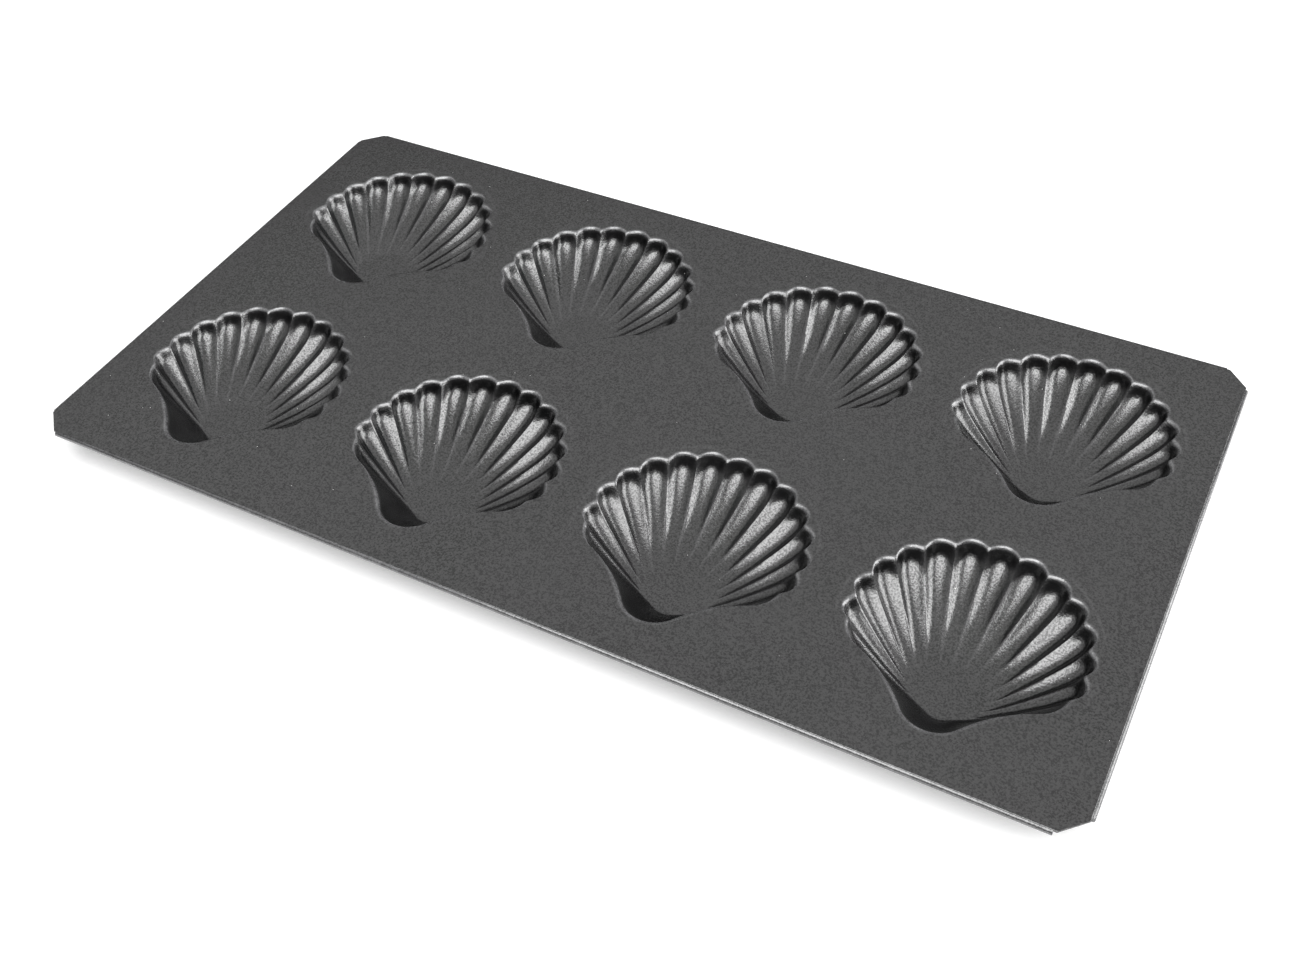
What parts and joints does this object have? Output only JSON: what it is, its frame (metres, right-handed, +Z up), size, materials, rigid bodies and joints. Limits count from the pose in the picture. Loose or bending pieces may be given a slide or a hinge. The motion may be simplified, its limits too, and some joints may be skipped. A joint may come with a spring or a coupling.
{
  "type": "madeleine pan",
  "caption": "Flat rectangular baking sheet drawn into rows of fluted scallop-shell moulds, with flat hemmed edges, clipped corners and a dark non-stick finish.",
  "frame": {"origin": "under the middle of the sheet, on the surface that the shells' flat floors stand on", "axes": "+X along the long side, +Y from the front long side, which the shells' tips point to, towards the back, +Z up out of the moulds"},
  "size_m": [0.35, 0.191, 0.0133],
  "materials": {
    "coated_steel": "dark grey satin non-stick coating with a fine grain, over pressed steel sheet"
  },
  "bodies": {
    "root": {"flat_web": "coated_steel", "front_shell_1": "coated_steel", "front_shell_2": "coated_steel", "front_shell_3": "coated_steel", "front_shell_4": "coated_steel", "back_shell_1": "coated_steel", "back_shell_2": "coated_steel", "back_shell_3": "coated_steel", "back_shell_4": "coated_steel", "front_hem": "coated_steel", "back_hem": "coated_steel", "left_hem": "coated_steel", "right_hem": "coated_steel"}
  },
  "joints": []
}
